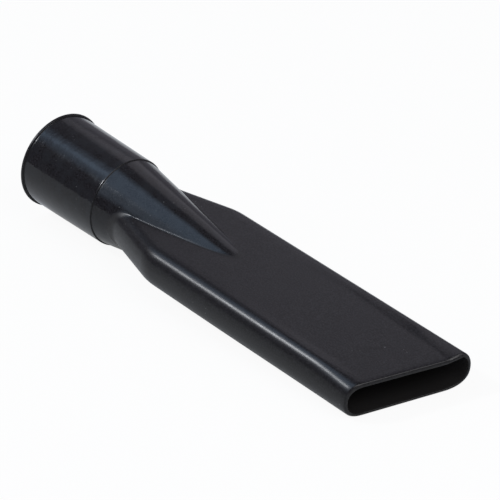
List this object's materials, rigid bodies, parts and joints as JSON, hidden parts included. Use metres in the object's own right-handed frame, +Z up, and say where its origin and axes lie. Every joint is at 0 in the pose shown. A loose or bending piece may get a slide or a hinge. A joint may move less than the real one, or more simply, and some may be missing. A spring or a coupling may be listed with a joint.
{
  "type": "flat vacuum nozzle",
  "caption": "One-piece flat suction nozzle: a round push-on socket with a thin lip, a cone that dies into a flat hollow blade, and a mouth cut askew.",
  "frame": {"origin": "centre of the socket's open end, on the nozzle's axis", "axes": "+X along the nozzle from the socket to the mouth, +Y across the blade towards its longer side, +Z up from one broad face"},
  "size_m": [0.2132, 0.0518, 0.0422],
  "materials": {
    "black_plastic": "satin black, moulded"
  },
  "bodies": {
    "root": {"nozzle_body": "black_plastic"}
  },
  "joints": []
}
